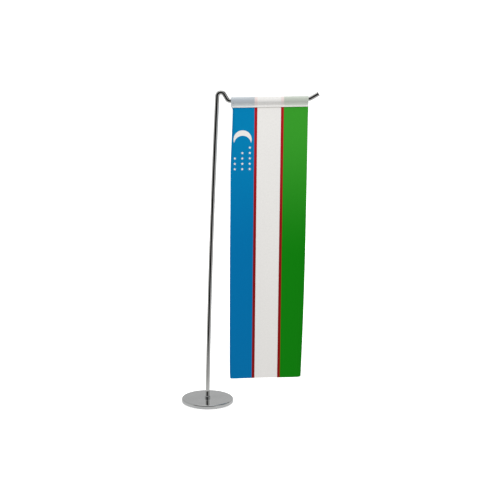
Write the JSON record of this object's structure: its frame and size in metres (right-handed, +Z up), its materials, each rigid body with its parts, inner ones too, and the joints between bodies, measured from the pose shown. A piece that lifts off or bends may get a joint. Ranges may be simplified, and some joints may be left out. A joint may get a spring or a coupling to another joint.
{
  "type": "desk flag stand",
  "caption": "Round weighted base with a bent rod whose gooseneck and arm carry a narrow cloth banner hung from a sewn sleeve.",
  "frame": {"origin": "centre of the base's underside, on the desk", "axes": "+Z up, +X along the arm from the pole to the tip, -Y out of the banner's printed face"},
  "size_m": [0.1922, 0.075, 0.4548],
  "materials": {
    "base_disc": "bright chrome plate on a turned steel disc",
    "base_pad": "matt black foam rubber",
    "foot_collar": "bright chrome plate",
    "pole": "bright chrome plate on drawn steel rod, bare cut end",
    "banner": "satin polyester cloth printed on one side",
    "seam_thread": "matt white sewing thread"
  },
  "bodies": {
    "stand_base": {"base_disc": "base_disc", "base_pad": "base_pad"},
    "bent_pole": {"pole": "pole", "foot_collar": "foot_collar"},
    "hung_banner": {"banner": "banner", "seam_thread": "seam_thread"}
  },
  "joints": [
    {"name": "pole_swivel", "type": "hinge", "parent": "stand_base", "child": "bent_pole", "pos_m": [0, 0, 0.0066], "axis": [0, 0, 1], "range_deg": [-180, 180]},
    {"name": "banner_swing", "type": "hinge", "parent": "bent_pole", "child": "hung_banner", "pos_m": [0.03004, 0, 0.44025], "axis": [0.9993, 0, 0.0366], "range_deg": [-90, 90]}
  ]
}
